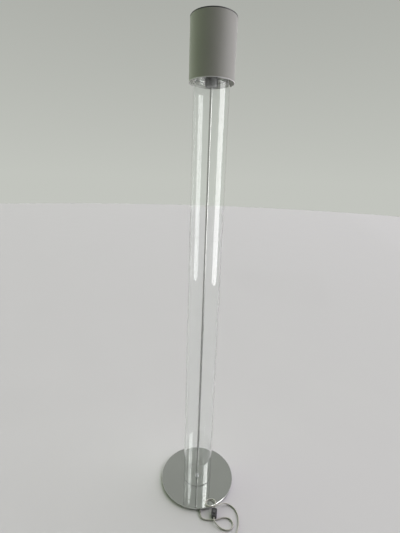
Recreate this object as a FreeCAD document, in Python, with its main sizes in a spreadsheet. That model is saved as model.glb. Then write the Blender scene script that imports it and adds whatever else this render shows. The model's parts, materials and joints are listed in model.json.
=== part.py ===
import FreeCAD, Part
import math
import os
import re
import Sketcher

# Floor lamp with a clear tube on a mirror-polished base, millimetres, +Z up.
# The origin is on the floor under the tube's axis, and -Y is the front.

Vector = FreeCAD.Vector

# Driving dimensions: name, value, what it is.
DIMENSIONS = (
    ("felt_thickness", 2, "felt under the base"),
    ("felt_radius", 139, "felt, outside"),
    ("felt_hole_radius", 22, "felt, hole below the nut recess"),
    ("base_radius", 143, "base plate"),
    ("plate_thickness", 8, "base plate"),
    ("plate_edge_round", 1.6, "round of the plate's upper edge"),
    ("plate_edge_chamfer", 0.6, "chamfer of the plate's lower edge"),
    ("seat_depth", 1.5, "groove that the tube stands in"),
    ("seat_clearance", 0.4, "groove beside the tube's wall"),
    ("gasket_thickness", 1, "rings under and over the tube"),
    ("hole_clearance", 0.2, "rod hole round the rod"),
    ("thread_clearance", 0.05, "nuts on the rod"),
    ("recess_radius", 22, "nut recess under the plate"),
    ("recess_depth", 5.5, "nut recess under the plate"),
    ("channel_width", 7, "cord channel under the plate"),
    ("channel_depth", 5.6, "cord channel under the plate"),
    ("exit_turn", 5.4, "cord exit, degrees from the front towards +X"),
    ("tube_radius", 55, "clear tube, outside"),
    ("tube_wall", 3, "clear tube"),
    ("tube_length", 1456.5, "clear tube"),
    ("tube_edge_chamfer", 0.4, "polished edges of the tube"),
    ("rod_radius", 4, "hollow centre rod"),
    ("rod_wall", 1, "hollow centre rod"),
    ("rod_foot", 3.2, "lower end of the rod above the floor"),
    ("rod_length", 1448.8, "hollow centre rod"),
    ("nut_flats", 13, "nuts on the rod, across flats"),
    ("foot_nut_height", 6.5, "nut on the plate"),
    ("lock_nut_height", 3.3, "nut under the plate"),
    ("washer_thickness", 1.2, "washers on the rod"),
    ("foot_washer_radius", 8, "washer on the plate"),
    ("base_washer_radius", 10, "washer under the plate"),
    ("cap_radius", 56, "cap on the tube"),
    ("cap_thickness", 4, "cap on the tube"),
    ("spigot_depth", 10, "lip of the cap inside the tube"),
    ("spigot_clearance", 0.4, "lip of the cap inside the tube"),
    ("spigot_wall", 2.6, "lip of the cap inside the tube"),
    ("step_radius", 48, "raised step that centres the shade carrier"),
    ("step_height", 2.5, "raised step"),
    ("step_wall", 4, "raised step"),
    ("cap_hole_radius", 16.8, "hole for the lampholder"),
    ("vent_radius", 4, "vents in the cap"),
    ("vent_circle", 26, "radius that the vents lie on"),
    ("vent_count", 6, "vents in the cap"),
    ("cup_radius", 18.5, "lampholder cup"),
    ("cup_depth", 24, "lampholder cup"),
    ("cup_wall", 2, "lampholder cup"),
    ("cup_round", 4, "lower edge of the cup"),
    ("cup_floor", 5, "floor of the cup"),
    ("cup_neck_radius", 7, "threaded neck in the cup"),
    ("cup_neck_height", 9, "threaded neck in the cup"),
    ("holder_radius", 16.4, "lampholder body, outside"),
    ("holder_wall", 1.8, "lampholder body"),
    ("holder_length", 46, "lampholder body"),
    ("holder_overlap", 10, "lampholder body inside the cup"),
    ("ring_radius", 26, "clamping ring of the lampholder"),
    ("ring_thickness", 3, "clamping ring of the lampholder"),
    ("collar_radius", 20, "collar of the clamping ring"),
    ("collar_height", 9, "collar of the clamping ring"),
    ("block_thickness", 8, "contact block in the lampholder"),
    ("contact_thickness", 0.6, "brass strips"),
    ("contact_width", 5, "brass strips"),
    ("contact_rise", 3.4, "spring of the centre contact"),
    ("shell_radius", 14.2, "brass screw shell, outside"),
    ("shell_wall", 0.5, "brass screw shell"),
    ("shell_length", 24, "brass screw shell"),
    ("tip_gap", 0.2, "bulb tip above the centre contact"),
    ("tip_radius", 4.5, "bulb tip contact"),
    ("tip_height", 1.5, "bulb tip contact"),
    ("insulator_height", 3, "glass insulator of the bulb cap"),
    ("insulator_radius", 10.5, "glass insulator of the bulb cap"),
    ("thread_crest", 13.1, "bulb cap thread, outside"),
    ("thread_root", 12.4, "bulb cap thread, root"),
    ("thread_pitch", 3.6, "bulb cap thread"),
    ("bulb_cap_height", 23, "bulb cap"),
    ("bulb_cap_bore", 11.8, "bulb cap, inside"),
    ("bulb_radius", 30, "glass envelope"),
    ("bulb_wall", 0.8, "glass envelope"),
    ("bulb_neck_radius", 11.6, "neck of the envelope inside the cap"),
    ("bulb_neck_depth", 7, "neck of the envelope inside the cap"),
    ("bulb_foot_radius", 12.9, "envelope where it leaves the cap"),
    ("bulb_shoulder", 43, "where the cone of the envelope meets its ball"),
    ("bulb_centre", 53, "centre of the ball above the cap"),
    ("shade_level", 1454, "lower edge of the shade above the floor"),
    ("shade_radius", 67.4, "shade wall, outside"),
    ("shade_wall", 1, "shade wall"),
    ("shade_height", 167, "shade, with its edge rings"),
    ("seam_angle", 11, "overlap of the shade wall at the back, degrees"),
    ("seam_thickness", 0.5, "overlap of the shade wall"),
    ("top_ring_height", 3, "dark ring on the upper edge"),
    ("bottom_ring_height", 2, "pale ring on the lower edge"),
    ("edge_ring_lap", 0.3, "edge rings past the wall on each side"),
    ("edge_ring_chamfer", 0.4, "corners of the edge rings"),
    ("carrier_wire", 1.5, "radius of the carrier's wire"),
    ("hoop_radius", 50, "inner hoop of the carrier, centre line"),
    ("band_height", 6, "band of the carrier, glued in the shade"),
    ("band_thickness", 2, "band of the carrier"),
    ("cord_radius", 2.4, "mains cord"),
    ("core_radius", 0.95, "one insulated core"),
    ("core_offset", 1.1, "core beside the axis"),
    ("clamp_distance", 17, "cord clamp from the axis"),
    ("clamp_width", 5, "cord clamp along the cord"),
    ("clamp_thickness", 1, "cord clamp strip"),
    ("clamp_reach", 9.6, "cord clamp ears from the cord's axis"),
    ("clamp_screw_offset", 7, "clamp screws from the cord's axis"),
    ("screw_radius", 1.45, "small screws"),
    ("screw_head_radius", 2.6, "small screws"),
    ("screw_head_height", 1.6, "small screws"),
    ("cord_level", 4.8, "cord's axis in the channel above the floor"),
    ("cord_start", 15, "sheath's end from the axis"),
    ("bush_inside", 8, "length of the cord bush in the plate"),
    ("bush_outside", 15, "length of the cord bush outside the plate"),
    ("bush_radius", 4.1, "flange of the cord bush"),
    ("bush_flange", 1.8, "flange of the cord bush"),
    ("bush_nose_radius", 2.9, "thin end of the cord bush"),
    ("switch_length", 30, "inline switch"),
    ("switch_width", 20, "inline switch"),
    ("switch_height", 17, "inline switch, without the rocker"),
    ("switch_split", 9, "joint line of the switch, at the cord's axis"),
    ("switch_corner", 6, "round of the switch's corners"),
    ("switch_edge", 1.5, "round of the switch's edges"),
    ("switch_shell", 1.8, "wall of the switch"),
    ("switch_hollow", 18, "length of the hollow between the switch's solid ends"),
    ("switch_x", 65, "centre of the switch"),
    ("switch_y", -158.5, "centre of the switch"),
    ("switch_turn", 6, "switch from the front-to-back line, degrees clockwise"),
    ("switch_screw_x", 6.3, "screws of the switch from its axis"),
    ("switch_screw_y", 11.4, "screws of the switch from its middle"),
    ("window_length", 15, "rocker window"),
    ("window_width", 9, "rocker window"),
    ("rocker_gap", 0.35, "gap beside the rocker"),
    ("cheek_thickness", 1.8, "cheeks that carry the rocker"),
    ("cheek_drop", 2.2, "cheeks below the pivot"),
    ("rocker_tilt", 8, "rocker from level in each position, degrees"),
    ("pivot_level", 13.2, "rocker pivot above the floor"),
    ("pivot_radius", 1.2, "rocker trunnions"),
    ("pivot_clearance", 0.05, "rocker trunnions in the cover"),
    ("coil_x", 100, "centre of the coil"),
    ("coil_y", -272, "centre of the coil"),
    ("coil_radius", 36.5, "outer turn of the coil, centre line"),
    ("coil_pitch", 5.4, "one turn of the coil beside the next"),
    ("coil_rise", 5.4, "one layer of the coil above the other"),
    ("coil_inward_turns", 3.5, "turns of the lower layer"),
    ("coil_outward_turns", 3.25, "turns of the upper layer"),
    ("plug_x", 70, "end of the plug's nose"),
    ("plug_y", -308, "axis of the plug"),
    ("plug_length", 34, "plug body without its nose"),
    ("plug_width", 35.5, "plug body"),
    ("plug_height", 13.6, "plug body"),
    ("plug_nose", 16, "nose of the plug"),
    ("pin_radius", 2, "plug pins"),
    ("pin_length", 19, "plug pins"),
    ("pin_spacing", 18.6, "plug pins"),
)

doc = FreeCAD.newDocument("tube_floor_lamp")
sheet = doc.addObject("Spreadsheet::Sheet", "dims")
for row, (alias, value, note) in enumerate(DIMENSIONS, start=1):
    sheet.set(f"A{row}", note)
    sheet.set(f"B{row}", str(value))
    sheet.setAlias(f"B{row}", alias)
doc.recompute()

ALIASES = {alias for alias, value, note in DIMENSIONS}
NODES = []

# Levels above the floor, as expressions.
PLATE_TOP = "(felt_thickness + plate_thickness)"
SEAT_LEVEL = f"({PLATE_TOP} - seat_depth)"
TUBE_LEVEL = f"({SEAT_LEVEL} + gasket_thickness)"
TUBE_TOP = f"({TUBE_LEVEL} + tube_length)"
CAP_LEVEL = f"({TUBE_TOP} + gasket_thickness)"
CAP_TOP = f"({CAP_LEVEL} + cap_thickness)"
CUP_LEVEL = f"({CAP_LEVEL} - cup_depth)"
HOLDER_LEVEL = f"({CAP_LEVEL} - holder_overlap)"
BLOCK_LEVEL = f"({CAP_LEVEL} - block_thickness)"
CONTACT_LEVEL = CAP_LEVEL
SHELL_LEVEL = f"({CONTACT_LEVEL} + contact_thickness)"
TIP_LEVEL = f"({CONTACT_LEVEL} + contact_thickness + contact_rise + tip_gap)"
INSULATOR_LEVEL = f"({TIP_LEVEL} + tip_height)"
BULB_CAP_LEVEL = f"({INSULATOR_LEVEL} + insulator_height)"
ENVELOPE_LEVEL = f"({BULB_CAP_LEVEL} + bulb_cap_height)"
RECESS_ROOF = "(felt_thickness + recess_depth)"


def dims(text):
    """An expression in which each dimension's name reads its cell."""
    def in_sheet(match):
        word = match.group(0)
        return f"dims.{word}" if word in ALIASES else word
    return re.sub(r"[A-Za-z_]+", in_sheet, text)


def value_of(text):
    return float(sheet.evalExpression(dims(text)))


def bind(thing, prop, text):
    thing.setExpression(prop, dims(text))


def add(kind, name, **properties):
    """A document object whose properties are bound to expressions."""
    thing = doc.addObject(kind, name)
    for prop, text in properties.items():
        bind(thing, prop, text)
    return thing


def place(thing, x="0", y="0", z="0"):
    for letter, text in zip("xyz", (x, y, z)):
        bind(thing, f"Placement.Base.{letter}", text)


def turn(thing, angle):
    """Turns the thing about the vertical through its own origin, in degrees."""
    thing.Placement.Rotation = FreeCAD.Rotation(Vector(0, 0, 1), value_of(angle))
    bind(thing, "Placement.Rotation.Angle", angle)


def node(thing):
    NODES.append(thing)
    return thing


# Sketches and features

def new_body(label, x="0", y="0", z="0"):
    body = doc.addObject("PartDesign::Body", label)
    place(body, x, y, z)
    return node(body)


def new_sketch(body, name, plane, offset=None):
    sketch = body.newObject("Sketcher::SketchObject", name)
    support = next(item for item in body.Origin.OriginFeatures if item.Role == plane)
    sketch.AttachmentSupport = (support, [""])
    sketch.MapMode = "FlatFace"
    if offset is not None:
        bind(sketch, "AttachmentOffset.Base.z", offset)
    return sketch


def pin_point(sketch, geometry, point, x, y):
    """Fixes one point of a sketch at two expressions."""
    for kind, axis, text in (("DistanceX", -2, x), ("DistanceY", -1, y)):
        distance = value_of(text)
        if abs(distance) < 1e-9:
            sketch.addConstraint(Sketcher.Constraint("PointOnObject", geometry, point, axis))
        else:
            index = sketch.addConstraint(Sketcher.Constraint(kind, geometry, point, distance))
            bind(sketch, f"Constraints[{index}]", text)


def outline(sketch, points):
    """A closed outline of straight lines through points given as expressions."""
    first = sketch.GeometryCount
    corners = [Vector(value_of(x), value_of(y), 0) for x, y in points]
    count = len(points)
    for index in range(count):
        line = Part.LineSegment(corners[index], corners[(index + 1) % count])
        sketch.addGeometry(line, False)
    for index in range(count):
        following = first + (index + 1) % count
        sketch.addConstraint(Sketcher.Constraint("Coincident", first + index, 2, following, 1))
    for index, (x, y) in enumerate(points):
        pin_point(sketch, first + index, 1, x, y)


def box_outline(sketch, width, depth, x="0", y="0"):
    """A rectangle round a centre."""
    left = f"{x} - ({width}) / 2"
    right = f"{x} + ({width}) / 2"
    low = f"{y} - ({depth}) / 2"
    high = f"{y} + ({depth}) / 2"
    outline(sketch, ((left, low), (right, low), (right, high), (left, high)))


def circle(sketch, radius, x="0", y="0"):
    centre = Vector(value_of(x), value_of(y), 0)
    shape = Part.Circle(centre, Vector(0, 0, 1), value_of(radius))
    index = sketch.addGeometry(shape, False)
    if value_of(x) == 0 and value_of(y) == 0:
        sketch.addConstraint(Sketcher.Constraint("Coincident", index, 3, -1, 1))
    else:
        pin_point(sketch, index, 3, x, y)
    constraint = sketch.addConstraint(Sketcher.Constraint("Radius", index, value_of(radius)))
    bind(sketch, f"Constraints[{constraint}]", radius)


def pad(body, sketch, length, midplane=False):
    feature = body.newObject("PartDesign::Pad", f"{sketch.Name}_pad")
    feature.Profile = sketch
    feature.Midplane = midplane
    bind(feature, "Length", length)
    return feature


def pocket(body, sketch, depth, upwards=False, midplane=False):
    """Cuts against the sketch's normal, or with it when upwards is true."""
    feature = body.newObject("PartDesign::Pocket", f"{sketch.Name}_pocket")
    feature.Profile = sketch
    feature.Reversed = upwards
    feature.Midplane = midplane
    bind(feature, "Length", depth)
    return feature


def revolve(body, sketch, angle=360, cut=False):
    kind = "PartDesign::Groove" if cut else "PartDesign::Revolution"
    feature = body.newObject(kind, f"{sketch.Name}_turned")
    feature.Profile = sketch
    feature.ReferenceAxis = (sketch, ["V_Axis"])
    feature.Angle = angle
    feature.Midplane = angle < 360
    return feature


def dress(body, kind, size, test):
    """Rounds or chamfers the edges of the tip that pass a test."""
    doc.recompute()
    base = body.Tip
    names = [f"Edge{n}" for n, edge in enumerate(base.Shape.Edges, start=1) if test(edge)]
    feature = body.newObject(f"PartDesign::{kind}", f"{base.Name}_{kind}")
    feature.Base = (base, names)
    bind(feature, "Radius" if kind == "Fillet" else "Size", size)
    return feature


def flat_at(edge, level, tolerance=1e-3):
    box = edge.BoundBox
    return abs(box.ZMin - level) < tolerance and abs(box.ZMax - level) < tolerance


def upright(edge):
    box = edge.BoundBox
    return box.XLength < 1e-3 and box.YLength < 1e-3 and box.ZLength > 1e-3


def turned(label, points, z="0"):
    """A body turned from one outline of radius and height about Z."""
    body = new_body(label, z=z)
    sketch = new_sketch(body, f"{label}_section", "XZ_Plane")
    outline(sketch, points)
    revolve(body, sketch)
    return body


def ring(label, outer, inner, height, z):
    """A flat-ended ring: two circles, padded."""
    body = new_body(label, z=z)
    sketch = new_sketch(body, f"{label}_circles", "XY_Plane")
    circle(sketch, outer)
    circle(sketch, inner)
    pad(body, sketch, height)
    return body


# Tubes along a route: straight runs joined by tangent arcs

def arc_between(start, corner, end):
    """The arc that leaves start towards corner and reaches end from it."""
    middle = (start + end) * 0.5
    half_chord = (end - start).Length / 2
    reach = (corner - middle).Length
    half_turn = math.atan2(reach, half_chord)
    radius = half_chord / math.sin(half_turn)
    rise = radius * (1 - math.cos(half_turn))
    crest = middle + (corner - middle) * (rise / reach)
    return Part.Arc(start, crest, end).toShape(), radius


def route_edges(points):
    """Runs through the points with an arc at each corner, and the arcs' radii."""
    edges = []
    radii = []
    last = points[0]
    for before, corner, after in zip(points, points[1:], points[2:]):
        run_in = corner - before
        run_out = after - corner
        trim = 0.45 * min(run_in.Length, run_out.Length)
        arc_start = corner - run_in * (trim / run_in.Length)
        arc_end = corner + run_out * (trim / run_out.Length)
        arc, radius = arc_between(arc_start, corner, arc_end)
        edges.append(Part.LineSegment(last, arc_start).toShape())
        edges.append(arc)
        radii.append(radius)
        last = arc_end
    edges.append(Part.LineSegment(last, points[-1]).toShape())
    return edges, radii


def tube_on(label, edges, radius):
    """One tube along joined edges, its volume held against section times length."""
    path = Part.Wire(edges)
    start = edges[0].Vertexes[0].Point
    direction = edges[0].tangentAt(edges[0].FirstParameter)
    section = Part.Wire([Part.makeCircle(radius, start, direction)])
    solid = path.makePipeShell([section], True, False)
    expected = math.pi * radius ** 2 * path.Length
    print(f"{label}: length {path.Length:.1f}, volume / expected {solid.Volume / expected:.4f}")
    return solid


def feature_of(label, shape):
    feature = doc.addObject("Part::Feature", label)
    feature.Shape = shape
    return node(feature)


def tube_feature(label, route, radius):
    edges, radii = route_edges([Vector(*point) for point in route])
    if radii:
        print(f"{label}: least radius {min(radii):.1f}, radii {[round(r, 1) for r in radii]}")
    return feature_of(label, tube_on(label, edges, radius))


# Base

def make_base_plate():
    """Steel disc, turned flat: tube groove above, nut recess and cord channel below."""
    body = new_body("base_plate", z="felt_thickness")
    disc = new_sketch(body, "plate_disc", "XY_Plane")
    circle(disc, "base_radius")
    pad(body, disc, "plate_thickness")
    top = value_of("plate_thickness")
    dress(body, "Fillet", "plate_edge_round", lambda edge: flat_at(edge, top))
    dress(body, "Chamfer", "plate_edge_chamfer", lambda edge: flat_at(edge, 0))
    groove = new_sketch(body, "tube_groove", "XZ_Plane")
    inner = "(tube_radius - tube_wall - seat_clearance)"
    outer = "(tube_radius + seat_clearance)"
    floor = "(plate_thickness - seat_depth)"
    above = "(plate_thickness + 1)"
    outline(groove, ((inner, floor), (outer, floor), (outer, above), (inner, above)))
    revolve(body, groove, cut=True)
    rod_hole = new_sketch(body, "rod_hole", "XY_Plane")
    circle(rod_hole, "rod_radius + hole_clearance")
    pocket(body, rod_hole, "plate_thickness + 1", upwards=True)
    recess = new_sketch(body, "nut_recess", "XY_Plane")
    circle(recess, "recess_radius")
    pocket(body, recess, "recess_depth", upwards=True)
    channel = new_sketch(body, "cord_channel", "XY_Plane")
    reach = "(base_radius + 2)"
    box_outline(channel, "channel_width", reach, y=f"(0 - {reach} / 2)")
    pocket(body, channel, "channel_depth", upwards=True)
    screws = new_sketch(body, "clamp_screw_holes", "XY_Plane")
    for side in ("clamp_screw_offset", "(0 - clamp_screw_offset)"):
        circle(screws, "screw_radius + 0.05", x=side, y="(0 - clamp_distance)")
    pocket(body, screws, "recess_depth + 1.9", upwards=True)
    turn(body, "exit_turn")


def make_base_felt():
    ring("base_felt", "felt_radius", "felt_hole_radius", "felt_thickness", "0")


def make_tube_gasket():
    ring("tube_gasket", "tube_radius + 0.2", "tube_radius - tube_wall - 0.2",
         "gasket_thickness", SEAT_LEVEL)


def make_nut(label, height, z):
    """Hexagon nut with its corners turned off at both ends."""
    blank = add("Part::Prism", f"{label}_hexagon", Circumradius="nut_flats / sqrt(3)",
                Height=height)
    blank.Polygon = 6
    corners = add("Part::Sphere", f"{label}_corners",
                  Radius=f"sqrt((nut_flats / 2) ^ 2 + ({height} / 2) ^ 2) + 0.25")
    place(corners, z=f"{height} / 2")
    rounded = add("Part::Common", f"{label}_rounded")
    rounded.Base = blank
    rounded.Tool = corners
    bore = add("Part::Cylinder", f"{label}_bore", Radius="rod_radius + thread_clearance",
               Height=height)
    nut = add("Part::Cut", label)
    nut.Base = rounded
    nut.Tool = bore
    place(nut, z=z)
    node(nut)


def make_rod_fasteners():
    bore = "rod_radius + hole_clearance"
    ring("foot_washer", "foot_washer_radius", bore, "washer_thickness", PLATE_TOP)
    make_nut("foot_nut", "foot_nut_height", f"{PLATE_TOP} + washer_thickness")
    ring("base_washer", "base_washer_radius", bore, "washer_thickness",
         f"{RECESS_ROOF} - washer_thickness")
    make_nut("lock_nut", "lock_nut_height",
             f"{RECESS_ROOF} - washer_thickness - lock_nut_height")


def make_cord_clamp():
    """Bent strip that holds the cord up in the recess, with an ear at each side."""
    body = new_body("cord_clamp")
    strip = new_sketch(body, "clamp_strip", "XZ_Plane", offset="clamp_distance")
    inner = "(cord_radius + 0.1)"
    outer = f"({inner} + clamp_thickness)"
    bottom = f"(cord_level - {inner})"
    ear = RECESS_ROOF
    outline(strip, (
        (f"0 - {outer}", f"{bottom} - clamp_thickness"),
        (outer, f"{bottom} - clamp_thickness"),
        (outer, f"{ear} - clamp_thickness"),
        ("clamp_reach", f"{ear} - clamp_thickness"),
        ("clamp_reach", ear),
        (inner, ear),
        (inner, bottom),
        (f"0 - {inner}", bottom),
        (f"0 - {inner}", ear),
        ("0 - clamp_reach", ear),
        ("0 - clamp_reach", f"{ear} - clamp_thickness"),
        (f"0 - {outer}", f"{ear} - clamp_thickness"),
    ))
    pad(body, strip, "clamp_width", midplane=True)
    holes = new_sketch(body, "clamp_holes", "XY_Plane")
    for side in ("clamp_screw_offset", "(0 - clamp_screw_offset)"):
        circle(holes, "screw_radius + 0.15", x=side, y="(0 - clamp_distance)")
    pocket(body, holes, f"{RECESS_ROOF} + 1", upwards=True)
    turn(body, "exit_turn")


def make_clamp_screws():
    """Two pan-head screws, heads down, through the clamp's ears into the plate."""
    body = new_body("clamp_screws")
    heads = new_sketch(body, "screw_heads", "XY_Plane",
                       offset=f"{RECESS_ROOF} - clamp_thickness - screw_head_height")
    shanks = new_sketch(body, "screw_shanks", "XY_Plane",
                        offset=f"{RECESS_ROOF} - clamp_thickness")
    for side in ("clamp_screw_offset", "(0 - clamp_screw_offset)"):
        circle(heads, "screw_head_radius", x=side, y="(0 - clamp_distance)")
        circle(shanks, "screw_radius", x=side, y="(0 - clamp_distance)")
    body.AllowCompound = True
    pad(body, heads, "screw_head_height")
    pad(body, shanks, "clamp_thickness + 1.7")
    turn(body, "exit_turn")


def exit_point(distance):
    """A point on the cord's axis under the plate, at a distance from the rod."""
    angle = math.radians(value_of("exit_turn"))
    return Vector(distance * math.sin(angle), -distance * math.cos(angle), value_of("cord_level"))


def make_cord_bush():
    """Rubber bush in the plate's edge: a block in the channel, a flange and a nose."""
    body = new_body("cord_bush", z="cord_level")
    block = new_sketch(body, "bush_block", "XZ_Plane", offset="base_radius - bush_inside")
    width = "(channel_width - 0.1)"
    top = "(felt_thickness + channel_depth - cord_level)"
    bottom = "(felt_thickness - cord_level)"
    outline(block, ((f"0 - {width} / 2", bottom), (f"{width} / 2", bottom),
                    (f"{width} / 2", top), (f"0 - {width} / 2", top)))
    pad(body, block, "bush_inside")
    nose = new_sketch(body, "bush_nose", "YZ_Plane")
    start = "(0 - base_radius)"
    flange = "(0 - base_radius - bush_flange)"
    end = "(0 - base_radius - bush_outside)"
    outline(nose, ((start, "0"), (end, "0"), (end, "bush_nose_radius"),
                   (flange, "bush_nose_radius + 0.6"), (flange, "bush_radius"),
                   (start, "bush_radius")))
    turned_nose = body.newObject("PartDesign::Revolution", "bush_nose_turned")
    turned_nose.Profile = nose
    turned_nose.ReferenceAxis = (nose, ["H_Axis"])
    turned_nose.Angle = 360
    bore = new_sketch(body, "bush_bore", "XZ_Plane", offset="base_radius - bush_inside - 1")
    circle(bore, "cord_radius + 0.05")
    cut = pocket(body, bore, "bush_inside + bush_outside + 2", upwards=True)
    cut.Label = "bush_bore_cut"
    turn(body, "exit_turn")


def make_cord_in_base():
    """The sheathed cord from the clamp through the channel and the bush."""
    cord = add("Part::Cylinder", "cord_in_base", Radius="cord_radius",
               Height="base_radius + bush_outside - cord_start")
    start = exit_point(value_of("cord_start"))
    direction = exit_point(1) - exit_point(0)
    cord.Placement = FreeCAD.Placement(start, FreeCAD.Rotation(Vector(0, 0, 1), direction))
    node(cord)


# Column

def make_clear_tube():
    body = ring("clear_tube", "tube_radius", "tube_radius - tube_wall", "tube_length", TUBE_LEVEL)
    ends = (0, value_of("tube_length"))
    dress(body, "Chamfer", "tube_edge_chamfer",
          lambda edge: any(flat_at(edge, level) for level in ends))


def make_centre_rod():
    ring("centre_rod", "rod_radius", "rod_radius - rod_wall", "rod_length", "rod_foot")


def make_core_wires():
    """Two cores from the sheath's end, under the lock nut and up the rod."""
    low = value_of("felt_thickness") - 0.5
    top = value_of(f"{BLOCK_LEVEL} + 4")
    sheath_end = -value_of("cord_start")
    in_sheath = value_of("cord_level") - 0.9
    offset = value_of("core_offset")
    wires = []
    for side in (-offset, offset):
        route = ((side, 0, top), (side, 0, low), (side, -8.6, low),
                 (side, -12.6, in_sheath), (side, sheath_end, in_sheath))
        edges, radii = route_edges([Vector(*point) for point in route])
        wires.append(tube_on("core_wires", edges, value_of("core_radius")))
    feature = feature_of("core_wires", Part.makeCompound(wires))
    turn(feature, "exit_turn")


def make_tube_cap():
    """Clear disc that closes the tube, with a lip inside it and a step for the carrier."""
    lip_outer = "(tube_radius - tube_wall - spigot_clearance)"
    lip_inner = f"({lip_outer} - spigot_wall)"
    body = turned("tube_cap", (
        ("cap_hole_radius", "0"),
        (lip_inner, "0"),
        (lip_inner, "0 - spigot_depth"),
        (lip_outer, "0 - spigot_depth"),
        (lip_outer, "0"),
        ("cap_radius", "0"),
        ("cap_radius", "cap_thickness"),
        ("step_radius", "cap_thickness"),
        ("step_radius", "cap_thickness + step_height"),
        ("step_radius - step_wall", "cap_thickness + step_height"),
        ("step_radius - step_wall", "cap_thickness"),
        ("cap_hole_radius", "cap_thickness"),
    ), z=CAP_LEVEL)
    vent = new_sketch(body, "cap_vent", "XY_Plane")
    circle(vent, "vent_radius", x="vent_circle")
    hole = pocket(body, vent, "cap_thickness + 1", upwards=True)
    doc.recompute()
    vents = body.newObject("PartDesign::PolarPattern", "cap_vents")
    vents.Originals = [hole]
    vents.Axis = (vent, ["N_Axis"])
    vents.Angle = 360
    bind(vents, "Occurrences", "vent_count")
    body.Tip = vents


def make_cap_gasket():
    ring("cap_gasket", "tube_radius - 0.2", "tube_radius - tube_wall + 0.1",
         "gasket_thickness", TUBE_TOP)


# Lampholder

def make_holder_cup():
    """Cup under the cap, screwed on the rod's upper end."""
    bore = "(rod_radius + thread_clearance)"
    turned("holder_cup", (
        (bore, "0"),
        ("cup_radius - cup_round", "0"),
        ("cup_radius - cup_round * 0.3", "cup_round * 0.3"),
        ("cup_radius", "cup_round"),
        ("cup_radius", "cup_depth"),
        ("cup_radius - cup_wall", "cup_depth"),
        ("cup_radius - cup_wall", "cup_floor"),
        ("cup_neck_radius", "cup_floor"),
        ("cup_neck_radius", "cup_neck_height"),
        (bore, "cup_neck_height"),
    ), z=CUP_LEVEL)


def make_holder_body():
    bore = "(holder_radius - holder_wall)"
    turned("holder_body", (
        (bore, "0"),
        ("holder_radius", "0"),
        ("holder_radius", "holder_length - 1"),
        ("holder_radius - 0.8", "holder_length"),
        (bore, "holder_length"),
    ), z=HOLDER_LEVEL)


def make_holder_ring():
    """Threaded ring that clamps the cap against the cup, with grip notches."""
    bore = "(holder_radius + thread_clearance)"
    body = turned("holder_ring", (
        (bore, "0"),
        ("ring_radius", "0"),
        ("ring_radius", "ring_thickness"),
        ("collar_radius", "ring_thickness"),
        ("collar_radius - 0.8", "collar_height"),
        (bore, "collar_height"),
    ), z=CAP_TOP)
    notch = new_sketch(body, "grip_notch", "XY_Plane")
    circle(notch, "2", x="ring_radius + 1")
    cut = pocket(body, notch, "ring_thickness + 1", upwards=True)
    doc.recompute()
    notches = body.newObject("PartDesign::PolarPattern", "grip_notches")
    notches.Originals = [cut]
    notches.Axis = (notch, ["N_Axis"])
    notches.Angle = 360
    notches.Occurrences = 12
    body.Tip = notches


def make_contact_block():
    ring("contact_block", "holder_radius - holder_wall - 0.05", "2.3", "block_thickness",
         BLOCK_LEVEL)


def make_contacts():
    """Centre spring and flat side tab, both bent or cut from brass strip."""
    body = new_body("centre_contact", z=CONTACT_LEVEL)
    spring = new_sketch(body, "spring_strip", "XZ_Plane")
    rise = "contact_rise"
    outline(spring, (
        ("0 - 11", "0"), ("0 - 6", "0"), ("0 - 2.5", rise), ("2.5", rise),
        ("2.5", f"{rise} + contact_thickness"), ("0 - 2.8", f"{rise} + contact_thickness"),
        ("0 - 6.3", "contact_thickness"), ("0 - 11", "contact_thickness"),
    ))
    pad(body, spring, "contact_width", midplane=True)
    body = new_body("side_contact", z=CONTACT_LEVEL)
    tab = new_sketch(body, "side_tab", "XY_Plane")
    box_outline(tab, "8", "contact_width", x="9.8")
    pad(body, tab, "contact_thickness")


def make_screw_shell():
    ring("screw_shell", "shell_radius", "shell_radius - shell_wall", "shell_length", SHELL_LEVEL)


# Bulb

def make_bulb_cap():
    """Metal cap with rolled thread ridges."""
    outside = [("insulator_radius", "0"), ("thread_root", "1.6")]
    for index in range(5):
        level = f"(2.4 + {index} * thread_pitch)"
        outside.append(("thread_root", level))
        outside.append(("thread_crest", f"{level} + thread_pitch * 0.3"))
        outside.append(("thread_crest", f"{level} + thread_pitch * 0.5"))
        outside.append(("thread_root", f"{level} + thread_pitch * 0.8"))
    outside.append(("thread_crest", "bulb_cap_height"))
    inside = [("bulb_cap_bore", "bulb_cap_height"), ("bulb_cap_bore", "2"), ("9.5", "0")]
    turned("bulb_cap", outside + inside, z=BULB_CAP_LEVEL)


def make_bulb_tip():
    ring("bulb_contact", "tip_radius", "1.2", "tip_height", TIP_LEVEL)
    turned("bulb_insulator", (
        ("1", "0"), ("tip_radius + 0.6", "0"), ("insulator_radius", "insulator_height - 0.6"),
        ("insulator_radius", "insulator_height"), ("1", "insulator_height"),
    ), z=INSULATOR_LEVEL)


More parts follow.
